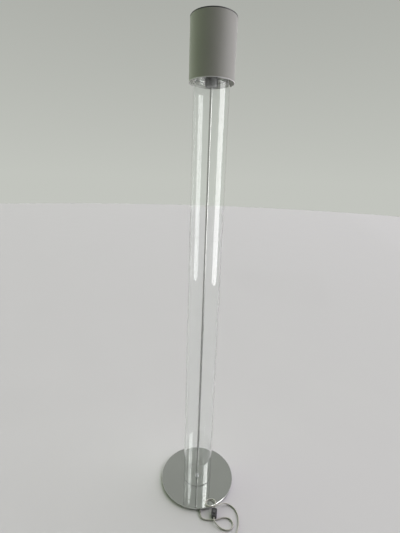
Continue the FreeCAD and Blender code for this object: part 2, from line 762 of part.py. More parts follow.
def make_bulb_envelope():
    """Hollow glass: a neck in the cap, a cone and a ball, open below."""
    body = new_body("bulb_envelope", z=ENVELOPE_LEVEL)
    sketch = new_sketch(body, "envelope_section", "XZ_Plane")
    wall = value_of("bulb_wall")
    centre = Vector(0, value_of("bulb_centre"), 0)
    shoulder = value_of("bulb_shoulder")
    neck = -value_of("bulb_neck_depth")

    def ball_point(radius):
        return Vector(math.sqrt(radius ** 2 - (centre.y - shoulder) ** 2), shoulder, 0)

    def ball_arc(radius):
        circle_shape = Part.Circle(centre, Vector(0, 0, 1), radius)
        start = math.atan2(shoulder - centre.y, ball_point(radius).x)
        return Part.ArcOfCircle(circle_shape, start, math.pi / 2)

    outer_radius = value_of("bulb_radius")
    inner_radius = outer_radius - wall
    neck_radius = value_of("bulb_neck_radius")
    foot_radius = value_of("bulb_foot_radius")
    corners = (
        Vector(0, centre.y + inner_radius, 0), Vector(0, centre.y + outer_radius, 0),
        ball_point(outer_radius), Vector(foot_radius, 0, 0), Vector(neck_radius, 0, 0),
        Vector(neck_radius, neck, 0), Vector(neck_radius - wall, neck, 0),
        Vector(neck_radius - wall, 0.8, 0), ball_point(inner_radius),
    )
    lines = ((0, 1), (2, 3), (3, 4), (4, 5), (5, 6), (6, 7), (7, 8))
    for first, second in lines:
        sketch.addGeometry(Part.LineSegment(corners[first], corners[second]), False)
    outer_arc = sketch.addGeometry(ball_arc(outer_radius), False)
    inner_arc = sketch.addGeometry(ball_arc(inner_radius), False)
    joins = ((0, 2, outer_arc, 2), (outer_arc, 1, 1, 1), (1, 2, 2, 1), (2, 2, 3, 1),
             (3, 2, 4, 1), (4, 2, 5, 1), (5, 2, 6, 1), (6, 2, inner_arc, 1),
             (inner_arc, 2, 0, 1))
    for join in joins:
        sketch.addConstraint(Sketcher.Constraint("Coincident", *join))
    for arc, radius in ((outer_arc, "bulb_radius"), (inner_arc, "bulb_radius - bulb_wall")):
        pin_point(sketch, arc, 3, "0", "bulb_centre")
        index = sketch.addConstraint(Sketcher.Constraint("Radius", arc, value_of(radius)))
        bind(sketch, f"Constraints[{index}]", radius)
        sketch.addConstraint(Sketcher.Constraint("PointOnObject", arc, 2, -2))
        index = sketch.addConstraint(Sketcher.Constraint("DistanceY", arc, 1, shoulder))
        bind(sketch, f"Constraints[{index}]", "bulb_shoulder")
    pin_point(sketch, 2, 1, "bulb_foot_radius", "0")
    pin_point(sketch, 3, 1, "bulb_neck_radius", "0")
    pin_point(sketch, 4, 1, "bulb_neck_radius", "0 - bulb_neck_depth")
    pin_point(sketch, 5, 1, "bulb_neck_radius - bulb_wall", "0 - bulb_neck_depth")
    pin_point(sketch, 6, 1, "bulb_neck_radius - bulb_wall", "bulb_wall")
    revolve(body, sketch)


# Shade

def make_shade_wall():
    """Rolled sheet, overlapped at the back."""
    height = "(shade_height - top_ring_height - bottom_ring_height)"
    body = ring("shade_wall", "shade_radius", "shade_radius - shade_wall", height,
                "shade_level + bottom_ring_height")
    seam = new_sketch(body, "seam_section", "YZ_Plane")
    outline(seam, (("shade_radius - 0.2", "0"), ("shade_radius + seam_thickness", "0"),
                   ("shade_radius + seam_thickness", height), ("shade_radius - 0.2", height)))
    revolve(body, seam, angle=value_of("seam_angle"))


def make_edge_ring(label, height, z):
    """Ring on the edge of the shade wall, a little thicker than the wall."""
    body = ring(label, "shade_radius + edge_ring_lap", "shade_radius - shade_wall - edge_ring_lap",
                height, z)
    dress(body, "Chamfer", "edge_ring_chamfer", lambda edge: edge.BoundBox.ZLength < 1e-3)


def make_shade_carrier():
    """Band glued in the shade, three wire arms and the hoop that rests on the cap."""
    level = f"({CAP_TOP} + carrier_wire)"
    outer = add("Part::Cylinder", "band_outside", Radius="shade_radius - shade_wall",
                Height="band_height")
    inner = add("Part::Cylinder", "band_inside",
                Radius="shade_radius - shade_wall - band_thickness", Height="band_height")
    band = add("Part::Cut", "carrier_band")
    band.Base = outer
    band.Tool = inner
    place(band, z="0 - band_height / 2")
    hoop = add("Part::Torus", "carrier_hoop", Radius1="hoop_radius", Radius2="carrier_wire")
    pieces = [band, hoop]
    for index in range(3):
        arm = add("Part::Cylinder", f"carrier_arm_{index}", Radius="carrier_wire",
                  Height="shade_radius - shade_wall - band_thickness / 2 - hoop_radius")
        angle = math.radians(90 + 120 * index)
        direction = Vector(math.cos(angle), math.sin(angle), 0)
        start = direction * value_of("hoop_radius")
        arm.Placement = FreeCAD.Placement(start, FreeCAD.Rotation(Vector(0, 0, 1), direction))
        pieces.append(arm)
    carrier = add("Part::MultiFuse", "shade_carrier")
    carrier.Shapes = pieces
    place(carrier, z=level)
    node(carrier)


# Inline switch

def in_switch(thing):
    """Places a piece of the switch on its spot and turns it with the housing."""
    bind(thing, "Placement.Base.x", "switch_x")
    bind(thing, "Placement.Base.y", "switch_y")
    turn(thing, "0 - switch_turn")
    return thing


def screw_circles(sketch, radius):
    for side in (1, -1):
        circle(sketch, radius, x=f"({side} * switch_screw_x)", y=f"({-side} * switch_screw_y)")


def switch_half(label, height, z, is_cover):
    """One moulded half: a rounded block, hollow from the joint line, with half bores."""
    body = in_switch(new_body(label, z=z))
    block = new_sketch(body, f"{label}_block", "XY_Plane")
    box_outline(block, "switch_width", "switch_length")
    pad(body, block, height)
    dress(body, "Fillet", "switch_corner", upright)
    closed_face = value_of(height) if is_cover else 0
    dress(body, "Fillet", "switch_edge", lambda edge: flat_at(edge, closed_face))
    hollow = new_sketch(body, f"{label}_hollow", "XY_Plane", offset=None if is_cover else height)
    box_outline(hollow, "switch_width - 2 * switch_shell", "switch_hollow")
    pocket(body, hollow, f"{height} - switch_shell", upwards=is_cover)
    bore = new_sketch(body, f"{label}_cord_bore", "XZ_Plane")
    circle(bore, "cord_radius + 0.05", y="0" if is_cover else "switch_split")
    pocket(body, bore, "switch_length + 2", midplane=True)
    return body


def make_switch_base():
    base = switch_half("switch_base", "switch_split", "0", is_cover=False)
    shanks = new_sketch(base, "base_screw_holes", "XY_Plane")
    screw_circles(shanks, "screw_radius + 0.05")
    pocket(base, shanks, "switch_split + 1", upwards=True)
    heads = new_sketch(base, "base_screw_heads", "XY_Plane")
    screw_circles(heads, "screw_head_radius + 0.2")
    pocket(base, heads, "screw_head_height + 0.6", upwards=True)


def make_switch_cover():
    """Upper half, with the rocker's window and two cheeks for its pivot."""
    cover = switch_half("switch_cover", "(switch_height - switch_split)", "switch_split",
                        is_cover=True)
    cheek_foot = "(pivot_level - cheek_drop - switch_split)"
    cheeks = new_sketch(cover, "pivot_cheeks", "XY_Plane", offset=cheek_foot)
    for side in (1, -1):
        box_outline(cheeks, "cheek_thickness", "7",
                    x=f"({side} * (window_width + cheek_thickness) / 2)")
    pad(cover, cheeks, f"switch_height - switch_split - switch_shell / 2 - {cheek_foot}")
    window = new_sketch(cover, "rocker_window", "XY_Plane")
    box_outline(window, "window_width", "window_length")
    pocket(cover, window, "switch_height", upwards=True)
    pivot = new_sketch(cover, "pivot_bore", "YZ_Plane")
    circle(pivot, "pivot_radius + pivot_clearance", y="pivot_level - switch_split")
    pocket(cover, pivot, "window_width + 2 * cheek_thickness - 1", midplane=True)
    screws = new_sketch(cover, "cover_screw_holes", "XY_Plane")
    screw_circles(screws, "screw_radius + 0.05")
    pocket(cover, screws, "5", upwards=True)


def make_switch_rocker():
    """Rocker on two trunnions, at rest with its far end down."""
    body = in_switch(new_body("switch_rocker", z="pivot_level"))
    side = new_sketch(body, "rocker_side", "YZ_Plane")
    half = "(window_length / 2 - 1.1)"
    crown = "(switch_height - pivot_level + 1)"
    profile = (
        (f"(0 - {half})", "1.2"), ("(0 - 3)", "(0 - 2.6)"), ("3", "(0 - 2.6)"), (half, "1.2"),
        (half, f"({crown} + 0.9)"), ("3.4", crown), ("(0 - 3.4)", crown),
        (f"(0 - {half})", f"({crown} + 0.9)"),
    )
    outline(side, [(f"{y} * cos(rocker_tilt) + {z} * sin(rocker_tilt)",
                    f"{z} * cos(rocker_tilt) - {y} * sin(rocker_tilt)") for y, z in profile])
    pad(body, side, "window_width - 2 * rocker_gap", midplane=True)
    trunnion = new_sketch(body, "rocker_trunnions", "YZ_Plane")
    circle(trunnion, "pivot_radius")
    pad(body, trunnion, "window_width + 2 * cheek_thickness - 1.4", midplane=True)


def make_switch_contacts():
    """Two brass strips on the floor of the switch, one for each core."""
    body = in_switch(new_body("switch_contacts", z="switch_shell"))
    body.AllowCompound = True
    strips = new_sketch(body, "contact_strips", "XY_Plane")
    for side in (1, -1):
        box_outline(strips, "3", "switch_hollow - 2", x=f"({side} * 3.4)")
    pad(body, strips, "0.8")


def make_switch_screws():
    """Two screws from below that hold the halves together."""
    body = in_switch(new_body("switch_screws"))
    body.AllowCompound = True
    heads = new_sketch(body, "switch_screw_heads", "XY_Plane", offset="0.6")
    screw_circles(heads, "screw_head_radius")
    pad(body, heads, "screw_head_height")
    shanks = new_sketch(body, "switch_screw_shanks", "XY_Plane", offset="screw_head_height + 0.6")
    screw_circles(shanks, "screw_radius")
    pad(body, shanks, "switch_split + 4 - screw_head_height")


# Cord

def coil_point(turns):
    """The coil's centre line: inwards below, up a layer as it reverses, outwards above."""
    inward = value_of("coil_inward_turns")
    pitch = value_of("coil_pitch")
    inner = value_of("coil_radius") - pitch * inward
    floor = value_of("cord_radius") + 0.05
    if turns <= inward:
        radius = value_of("coil_radius") - pitch * turns
        level = floor
    elif turns <= inward + 0.5:
        part = turns - inward
        radius = inner - pitch * part + 2 * pitch * part ** 2
        share = part / 0.5
        level = floor + value_of("coil_rise") * (3 * share ** 2 - 2 * share ** 3)
    else:
        radius = inner + pitch * (turns - inward - 0.5)
        level = floor + value_of("coil_rise")
    angle = -2 * math.pi * turns
    return Vector(value_of("coil_x") + radius * math.cos(angle),
                  value_of("coil_y") + radius * math.sin(angle), level)


def coil_direction(turns):
    step = 1e-4
    return (coil_point(turns + step) - coil_point(turns - step)).normalize()


def biarc(start, start_direction, end, end_direction):
    """Two tangent arcs between two points, and the lesser radius."""
    span = end - start
    both = start_direction + end_direction
    a = 2 * (start_direction.dot(end_direction) - 1)
    b = -2 * span.dot(both)
    c = span.dot(span)
    reach = (-b - math.sqrt(b * b - 4 * a * c)) / (2 * a)
    first_corner = start + start_direction * reach
    second_corner = end - end_direction * reach
    middle = (first_corner + second_corner) * 0.5
    first, first_radius = arc_between(start, first_corner, middle)
    second, second_radius = arc_between(middle, second_corner, end)
    return [first, second], min(first_radius, second_radius)


def coil_turns():
    return value_of("coil_inward_turns") + 0.5 + value_of("coil_outward_turns")


def coil_ends():
    """The coil's two ends, one diameter straight beyond its turns, and their directions."""
    lead = 2 * value_of("cord_radius")
    turns = coil_turns()
    start = coil_point(0) - coil_direction(1e-3) * lead
    end = coil_point(turns) + coil_direction(turns - 1e-3) * lead
    return start, coil_direction(1e-3), end, coil_direction(turns - 1e-3)


def coil_gap():
    """Least gap between strands, measured on points along the centre line."""
    steps = 48
    count = int(coil_turns() * steps)
    points = [coil_point(index / steps) for index in range(count + 1)]
    least = 1e9
    for index, point in enumerate(points):
        for other in points[index + steps // 4:]:
            least = min(least, (point - other).Length)
    return least - 2 * value_of("cord_radius")


def make_cord_coil():
    start, start_direction, end, end_direction = coil_ends()
    turns = coil_turns()
    quarters = int(round(turns * 4))
    edges = [Part.LineSegment(start, coil_point(0)).toShape()]
    radii = []
    for index in range(quarters):
        first = index / 4
        second = (index + 1) / 4
        before = start_direction if index == 0 else coil_direction(first)
        after = end_direction if index == quarters - 1 else coil_direction(second)
        pair, radius = biarc(coil_point(first), before, coil_point(second), after)
        edges.extend(pair)
        radii.append(radius)
    edges.append(Part.LineSegment(coil_point(turns), end).toShape())
    print(f"cord_coil: least radius {min(radii):.1f}, least gap {coil_gap():.2f}")
    feature_of("cord_coil", tube_on("cord_coil", edges, value_of("cord_radius")))


def on_switch_axis(distance, level):
    """A point on the line of the switch, from its middle towards the lamp."""
    angle = math.radians(value_of("switch_turn"))
    return (value_of("switch_x") + distance * math.sin(angle),
            value_of("switch_y") + distance * math.cos(angle), level)


def exit_route():
    """From the bush over the floor, round a loop, over itself and into the switch."""
    bush_end = value_of("base_radius + bush_outside")
    split = value_of("switch_split")
    return [
        tuple(exit_point(bush_end)), tuple(exit_point(bush_end + 8.5)),
        (20.6, -173, 3.3), (29.5, -177, 2.45), (41, -178, 2.45), (57, -178.6, 2.45),
        (73, -177, 2.45), (88, -171, 2.45), (103, -167, 2.45), (117, -169.5, 2.45),
        (128, -178.5, 2.45), (132, -192, 2.45), (127, -205, 2.45), (114, -212, 2.45),
        (98.5, -211, 2.45), (84.5, -204.5, 3.4), (73, -196, 6.6), (65, -187, split),
        on_switch_axis(-20.5, split), on_switch_axis(-9.5, split),
    ]


def coil_route():
    """From the switch up on to the base, round a ring, over itself and down to the coil."""
    start, direction, end, end_direction = coil_ends()
    split = value_of("switch_split")
    return [
        on_switch_axis(9.5, split), on_switch_axis(19.3, split),
        (71.4, -127.4, 16.6), (66.9, -115.3, 18.4), (57.2, -107.9, 13.7), (45.1, -108.2, 12.45),
        (35.8, -116.1, 13.4), (33.4, -127.5, 15.2), (39.2, -138, 17.4), (49.7, -142, 19.2),
        (65, -139.6, 18), (77.5, -134.6, 17.2), (88, -127, 14.3), (99, -119.8, 10),
        (111.5, -117, 5.8), (124, -119.5, 2.6), (135, -126.5, 2.45), (144, -137.5, 2.45),
        (150, -151.5, 2.45), (152.5, -167.5, 2.45), (152, -184, 2.45), (148.5, -200.5, 2.45),
        (143, -216, 2.45), (138.3, -232, 2.45), tuple(start - direction * 17), tuple(start),
    ]


def plug_route():
    """From the coil's outer end into the nose of the plug."""
    start, direction, end, end_direction = coil_ends()
    nose = Vector(value_of("plug_x"), value_of("plug_y"), value_of("plug_height / 2"))
    return [tuple(end), tuple(end + end_direction * 8), tuple(nose + Vector(8, 0, 0)), tuple(nose)]


def make_cord():
    radius = value_of("cord_radius")
    tube_feature("cord_to_switch", exit_route(), radius)
    tube_feature("cord_to_coil", coil_route(), radius)
    make_cord_coil()
    tube_feature("cord_to_plug", plug_route(), radius)


# Plug

def make_plug_body():
    """Flat two-pin plug: tapered body and a nose that the cord enters."""
    body = new_body("plug_body", x="plug_x", y="plug_y", z="plug_height / 2")
    stations = (
        ("0", "cord_radius * 2 + 3", "cord_radius * 2 + 2.6"),
        ("plug_nose", "plug_height + 1", "plug_height - 3"),
        ("plug_nose + plug_length * 0.45", "plug_width", "plug_height"),
        ("plug_nose + plug_length", "plug_width - 1", "plug_height"),
    )
    sections = []
    for index, (distance, width, height) in enumerate(stations):
        section = new_sketch(body, f"plug_section_{index}", "YZ_Plane", offset=f"0 - ({distance})")
        cut = f"({height}) * 0.3"
        half = f"({width}) / 2"
        tall = f"({height}) / 2"
        outline(section, (
            (half, f"0 - {tall} + {cut}"), (half, f"{tall} - {cut}"),
            (f"{half} - {cut}", tall), (f"0 - {half} + {cut}", tall),
            (f"0 - {half}", f"{tall} - {cut}"), (f"0 - {half}", f"0 - {tall} + {cut}"),
            (f"0 - {half} + {cut}", f"0 - {tall}"), (f"{half} - {cut}", f"0 - {tall}"),
        ))
        sections.append(section)
    loft = body.newObject("PartDesign::AdditiveLoft", "plug_loft")
    loft.Profile = sections[0]
    loft.Sections = sections[1:]
    loft.Ruled = True


def make_plug_pins():
    pins = []
    for name, side in (("plug_pin_near", 1), ("plug_pin_far", -1)):
        pin = add("Part::Cylinder", name, Radius="pin_radius", Height="pin_length")
        pin.Placement.Rotation = FreeCAD.Rotation(Vector(0, 1, 0), -90)
        place(pin, x="plug_x - plug_nose - plug_length", y=f"plug_y + {side} * pin_spacing / 2",
              z="plug_height / 2")
        pins.append(pin)
    both = add("Part::MultiFuse", "plug_pins")
    both.Shapes = pins
    node(both)


def build():
    make_base_plate()
    make_base_felt()
    make_tube_gasket()
    make_rod_fasteners()
    make_cord_clamp()
    make_clamp_screws()
    make_cord_bush()
    make_cord_in_base()
    make_clear_tube()
    make_centre_rod()
    make_core_wires()
    make_cap_gasket()
    make_tube_cap()
    make_holder_cup()
    make_holder_body()
    make_holder_ring()
    make_contact_block()
    make_contacts()
    make_screw_shell()
    make_bulb_tip()
    make_bulb_cap()
    make_bulb_envelope()
    make_shade_wall()
    make_edge_ring("shade_top_ring", "top_ring_height",
                   "shade_level + shade_height - top_ring_height")
    make_edge_ring("shade_bottom_ring", "bottom_ring_height", "shade_level")
    make_shade_carrier()
    make_switch_base()
    make_switch_cover()
    make_switch_screws()
    make_switch_rocker()
    make_switch_contacts()
    make_cord()
    make_plug_body()
    make_plug_pins()
    doc.recompute()


def check_and_write():
    """Stops on a failed object or a bad shape, then writes one file for each node."""
    for thing in doc.Objects:
        if "Invalid" in thing.State or "Error" in thing.State:
            raise RuntimeError(f"{thing.Name} failed: {thing.State}")
    os.makedirs("parts", exist_ok=True)
    for thing in NODES:
        shape = thing.Shape
        if shape.isNull() or not shape.isValid() or shape.Volume <= 0:
            raise RuntimeError(f"{thing.Label} has a bad shape")
        shape.exportStep(f"parts/{thing.Label}.step")
        box = shape.BoundBox
        print(f"{thing.Label}: solids {len(shape.Solids)}, volume {shape.Volume:.1f}, "
              f"z {box.ZMin:.2f} to {box.ZMax:.2f}")


build()
check_and_write()
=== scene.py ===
import json
import math

import bpy
from mathutils import Matrix, Vector


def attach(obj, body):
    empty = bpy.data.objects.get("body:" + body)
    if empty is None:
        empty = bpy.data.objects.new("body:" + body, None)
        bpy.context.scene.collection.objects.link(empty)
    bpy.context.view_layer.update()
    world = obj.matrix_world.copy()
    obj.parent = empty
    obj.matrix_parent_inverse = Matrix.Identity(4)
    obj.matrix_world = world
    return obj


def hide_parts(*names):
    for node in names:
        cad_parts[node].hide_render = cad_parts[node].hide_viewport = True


# Looks of the tube floor lamp. Metres, +Z up, -Y is the front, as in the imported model.

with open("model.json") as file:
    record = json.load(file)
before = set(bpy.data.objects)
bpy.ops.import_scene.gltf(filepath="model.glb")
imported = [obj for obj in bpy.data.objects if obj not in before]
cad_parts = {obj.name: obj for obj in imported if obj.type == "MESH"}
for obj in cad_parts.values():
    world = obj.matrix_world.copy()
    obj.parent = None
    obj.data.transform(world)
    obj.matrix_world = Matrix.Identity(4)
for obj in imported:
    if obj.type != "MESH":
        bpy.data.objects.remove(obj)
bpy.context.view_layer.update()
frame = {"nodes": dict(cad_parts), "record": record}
scene = bpy.context.scene

# Camera: the photograph's viewpoint, worked out for a frame of 400 x 533. Degrees.
FRAME_HEIGHT_PX = 533
FOCAL_LENGTH_PX = 326.4
SENSOR = 36.0
CAMERA_PLACE = Vector((-0.0163, -1.0716, 1.1827))
PITCH_DOWN = 15.1
ROLL = 1.9
NEAREST_SEEN = 0.02
FARTHEST_SEEN = 60

# The cord, its switch and its coil, as in the part's source.
CORD_RADIUS = 0.0024
CORD_LEVEL = 0.0048
BUSH_END = 0.158
BUSH_LEAD = 0.0085
EXIT_TURN = math.radians(5.4)
SWITCH_PLACE = Vector((0.065, -0.1585, 0.009))
SWITCH_TURN = math.radians(6)
SWITCH_CORD_END = 0.0095
SWITCH_FRONT_LEAD = 0.0205
SWITCH_REAR_LEAD = 0.0193
COIL_PLACE = Vector((0.100, -0.272, 0.00245))
COIL_RADIUS = 0.0365
COIL_PITCH = 0.0054
COIL_RISE = 0.0054
INWARD_TURNS = 3.5
REVERSING_TURNS = 0.5
OUTWARD_TURNS = 3.25
COIL_TURNS = INWARD_TURNS + REVERSING_TURNS + OUTWARD_TURNS
COIL_POINTS_PER_TURN = 20
COIL_LEAD_IN = 0.017
COIL_LEAD_OUT = 0.008
PLUG_NOSE = Vector((0.070, -0.308, 0.0068))
PLUG_LEAD = Vector((0.008, 0, 0))

# Points that steer the cord, in millimetres.
ROUTE_TO_SWITCH = (
    (20.6, -173, 3.3), (29.5, -177, 2.45), (41, -178, 2.45), (57, -178.6, 2.45),
    (73, -177, 2.45), (88, -171, 2.45), (103, -167, 2.45), (117, -169.5, 2.45),
    (128, -178.5, 2.45), (132, -192, 2.45), (127, -205, 2.45), (114, -212, 2.45),
    (98.5, -211, 2.45), (84.5, -204.5, 3.4), (73, -196, 6.6), (65, -187, 9))
ROUTE_TO_COIL = (
    (71.4, -127.4, 16.6), (66.9, -115.3, 18.4), (57.2, -107.9, 13.7),
    (45.1, -108.2, 12.45), (35.8, -116.1, 13.4), (33.4, -127.5, 15.2),
    (39.2, -138, 17.4), (49.7, -142, 19.2), (65, -139.6, 18), (77.5, -134.6, 17.2),
    (88, -127, 14.3), (99, -119.8, 10), (111.5, -117, 5.8), (124, -119.5, 2.6),
    (135, -126.5, 2.45), (144, -137.5, 2.45), (150, -151.5, 2.45),
    (152.5, -167.5, 2.45), (152, -184, 2.45), (148.5, -200.5, 2.45),
    (143, -216, 2.45), (138.3, -232, 2.45))


def set_camera():
    camera = bpy.data.objects.new("camera", bpy.data.cameras.new("camera"))
    scene.collection.objects.link(camera)
    camera.data.sensor_width = SENSOR
    camera.data.lens = FOCAL_LENGTH_PX / FRAME_HEIGHT_PX * SENSOR
    camera.data.clip_start = NEAREST_SEEN
    camera.data.clip_end = FARTHEST_SEEN
    tilt = Matrix.Rotation(math.radians(90 - PITCH_DOWN), 4, "X")
    roll = Matrix.Rotation(math.radians(ROLL), 4, "Z")
    camera.matrix_world = Matrix.Translation(CAMERA_PLACE) @ tilt @ roll
    scene.camera = camera


set_camera()


# Cords

def smooth_curve(name, points, radius):
    """A round cord on one smooth line that the points steer."""
    curve = bpy.data.curves.new(name, "CURVE")
    curve.dimensions = "3D"
    spline = curve.splines.new("NURBS")
    spline.points.add(len(points) - 1)
    for target, point in zip(spline.points, points):
        target.co = (*point, 1)
        target.radius = radius
    spline.order_u = 3
    spline.use_endpoint_u = True
    curve.resolution_u = 8
    curve.bevel_depth = 1
    curve.bevel_resolution = 5
    curve.use_fill_caps = True
    piece = bpy.data.objects.new(name, curve)
    scene.collection.objects.link(piece)
    return piece


def millimetres(points):
    return [Vector(point) / 1000 for point in points]


def exit_point(distance):
    """A point on the cord's line out of the base, at a distance from the rod."""
    return Vector((distance * math.sin(EXIT_TURN), -distance * math.cos(EXIT_TURN),
                   CORD_LEVEL))


def on_switch_axis(distance):
    """A point on the line of the switch's bores, positive towards the base."""
    return SWITCH_PLACE + Vector((distance * math.sin(SWITCH_TURN),
                                  distance * math.cos(SWITCH_TURN), 0))


def coil_point(turns):
    """Inwards below, up a layer as the spiral reverses, and outwards above."""
    inner = COIL_RADIUS - COIL_PITCH * INWARD_TURNS
    reversing = turns - INWARD_TURNS
    if reversing <= 0:
        radius = COIL_RADIUS - COIL_PITCH * turns
        rise = 0.0
    elif reversing <= REVERSING_TURNS:
        share = reversing / REVERSING_TURNS
        radius = inner - COIL_PITCH * reversing * (1 - share)
        rise = COIL_RISE * (3 * share ** 2 - 2 * share ** 3)
    else:
        radius = inner + COIL_PITCH * (reversing - REVERSING_TURNS)
        rise = COIL_RISE
    angle = -2 * math.pi * turns
    return COIL_PLACE + Vector((radius * math.cos(angle), radius * math.sin(angle), rise))


def coil_direction(turns):
    step = 1e-4
    return (coil_point(turns + step) - coil_point(turns - step)).normalized()


def cord_to_switch():
    points = [
        exit_point(BUSH_END), exit_point(BUSH_END + BUSH_LEAD),
        *millimetres(ROUTE_TO_SWITCH),
        on_switch_axis(-SWITCH_FRONT_LEAD), on_switch_axis(-SWITCH_CORD_END),
    ]
    piece = smooth_curve("flex_to_switch", points, CORD_RADIUS)
    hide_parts("cord_to_switch")
    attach(piece, "lamp")
    return piece


def cord_to_plug():
    """From the switch over the base's edge, round, down and through the coil."""
    lead = 2 * CORD_RADIUS
    end_step = 1e-3
    inwards = coil_direction(end_step)
    outwards = coil_direction(COIL_TURNS - end_step)
    start = coil_point(0) - inwards * lead
    end = coil_point(COIL_TURNS) + outwards * lead
    steps = round(COIL_TURNS * COIL_POINTS_PER_TURN)
    points = [
        on_switch_axis(SWITCH_CORD_END), on_switch_axis(SWITCH_REAR_LEAD),
        *millimetres(ROUTE_TO_COIL),
        start - inwards * COIL_LEAD_IN, start,
        *(coil_point(COIL_TURNS * index / steps) for index in range(steps + 1)),
        end, end + outwards * COIL_LEAD_OUT,
        PLUG_NOSE + PLUG_LEAD, PLUG_NOSE,
    ]
    piece = smooth_curve("flex_to_plug", points, CORD_RADIUS)
    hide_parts("cord_to_coil", "cord_coil", "cord_to_plug")
    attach(piece, "lamp")
    return piece


flex_pieces = [cord_to_switch(), cord_to_plug()]


# Materials, all procedural. Sizes in them are metres, and scales are per metre.

COARSENESS = 12
LINE_STRETCH = 0.02
WEAVE_SCALE = 900 / 6.28
LINING_RADIUS = 0.0669

# The sockets of a Mix node that carry colours.
MIX_COLOR_A = 6
MIX_COLOR_B = 7
MIX_COLOR_RESULT = 2


def new_material(name, color, roughness, metallic=0.0, **sockets):
    material = bpy.data.materials.new(name)
    material.use_nodes = True
    shader = material.node_tree.nodes["Principled BSDF"]
    shader.inputs["Base Color"].default_value = (*color, 1)
    shader.inputs["Roughness"].default_value = roughness
    shader.inputs["Metallic"].default_value = metallic
    for socket, value in sockets.items():
        shader.inputs[socket.replace("_", " ")].default_value = value
    return material


class Nodes:
    """Adds nodes to one material and links them."""

    def __init__(self, material):
        self.tree = material.node_tree
        self.shader = self.tree.nodes["Principled BSDF"]
        self.output = self.tree.nodes["Material Output"]

    def add(self, kind, **values):
        node = self.tree.nodes.new(kind)
        for name, value in values.items():
            setattr(node, name, value)
        return node

    def link(self, source, target):
        self.tree.links.new(source, target)

    def link_shader(self, source, socket):
        self.link(source, self.shader.inputs[socket])

    def place(self, scale=(1, 1, 1)):
        """Object coordinates, stretched by a scale along each axis."""
        coordinates = self.add("ShaderNodeTexCoord")
        mapping = self.add("ShaderNodeMapping")
        mapping.inputs["Scale"].default_value = scale
        self.link(coordinates.outputs["Object"], mapping.inputs["Vector"])
        return mapping.outputs["Vector"]

    def noise(self, scale, detail, stretch=(1, 1, 1)):
        noise = self.add("ShaderNodeTexNoise")
        noise.inputs["Scale"].default_value = scale
        noise.inputs["Detail"].default_value = detail
        self.link(self.place(stretch), noise.inputs["Vector"])
        return noise.outputs["Fac"]

    def spread(self, factor, low, high, start=0.3, end=0.7):
        """Maps a factor between start and end to values between low and high."""
        spread = self.add("ShaderNodeMapRange")
        for socket, value in (("From Min", start), ("From Max", end), ("To Min", low),
                              ("To Max", high)):
            spread.inputs[socket].default_value = value
        self.link(factor, spread.inputs["Value"])
        return spread.outputs["Result"]

    def ramp(self, factor, dark, light, start=0.3, end=0.7):
        """Maps a factor between start and end to colours between dark and light."""
        ramp = self.add("ShaderNodeValToRGB")
        for element, position, color in zip(ramp.color_ramp.elements, (start, end),
                                            (dark, light)):
            element.position = position
            element.color = (*color, 1)
        self.link(factor, ramp.inputs["Fac"])
        return ramp.outputs["Color"]

    def bump(self, height, strength, distance):
        bump = self.add("ShaderNodeBump")
        bump.inputs["Strength"].default_value = strength
        bump.inputs["Distance"].default_value = distance
        self.link(height, bump.inputs["Height"])
        self.link_shader(bump.outputs["Normal"], "Normal")


def shaded(color, factor):
    return tuple(channel * factor for channel in color)


def mottled(name, color, roughness, grain, depth=0.0, variation=0.08, metallic=0.0,
            **sockets):
    """A moulded, cast or coated surface: faint colour and gloss changes, fine grain."""
    material = new_material(name, color, roughness, metallic, **sockets)
    nodes = Nodes(material)
    broad = nodes.noise(grain / COARSENESS, detail=4)
    nodes.link_shader(nodes.ramp(broad, dark=shaded(color, 1 - variation),
                                 light=shaded(color, 1 + variation)), "Base Color")
    nodes.link_shader(nodes.spread(broad, low=roughness * 0.85,
                                   high=min(1, roughness * 1.2)), "Roughness")
    if depth:
        nodes.bump(nodes.noise(grain, detail=2), strength=0.5, distance=depth)
    return material


def clear_plastic(name, tint, roughness):
    """Clear acrylic: glossy walls that the room shows through, faintly wiped."""
    material = new_material(name, tint, roughness, Transmission_Weight=1.0, IOR=1.49)
    nodes = Nodes(material)
    marks = nodes.noise(9, detail=5, stretch=(1, 1, 0.25))
    nodes.link_shader(nodes.spread(marks, low=roughness * 0.5, high=roughness * 1.6),
                      "Roughness")
    rays = nodes.add("ShaderNodeLightPath")
    open_way = nodes.add("ShaderNodeBsdfTransparent")
    open_way.inputs["Color"].default_value = (*tint, 1)
    mix = nodes.add("ShaderNodeMixShader")
    nodes.link(rays.outputs["Is Shadow Ray"], mix.inputs["Fac"])
    nodes.link(nodes.shader.outputs["BSDF"], mix.inputs[1])
    nodes.link(open_way.outputs["BSDF"], mix.inputs[2])
    nodes.link(mix.outputs["Shader"], nodes.output.inputs["Surface"])
    return material


def mirror_metal(name, color):
    """Polished chromed steel with faint wiping haze and dust."""
    material = new_material(name, color, 0.03, metallic=1.0)
    nodes = Nodes(material)
    haze = nodes.noise(14, detail=6)
    nodes.link_shader(nodes.spread(haze, low=0.02, high=0.07), "Roughness")
    nodes.link_shader(nodes.ramp(haze, dark=shaded(color, 0.97), light=color),
                      "Base Color")
    return material


def drawn_metal(name, color, roughness):
    """Metal drawn or brushed along its length, seen as fine upright lines."""
    material = new_material(name, color, roughness, metallic=1.0)
    nodes = Nodes(material)
    lines = nodes.noise(600, detail=3, stretch=(1, 1, LINE_STRETCH))
    nodes.link_shader(nodes.spread(lines, low=roughness * 0.8, high=roughness * 1.3),
                      "Roughness")
    nodes.link_shader(nodes.ramp(lines, dark=shaded(color, 0.92),
                                 light=shaded(color, 1.05)), "Base Color")
    nodes.bump(lines, strength=0.15, distance=0.00005)
    return material


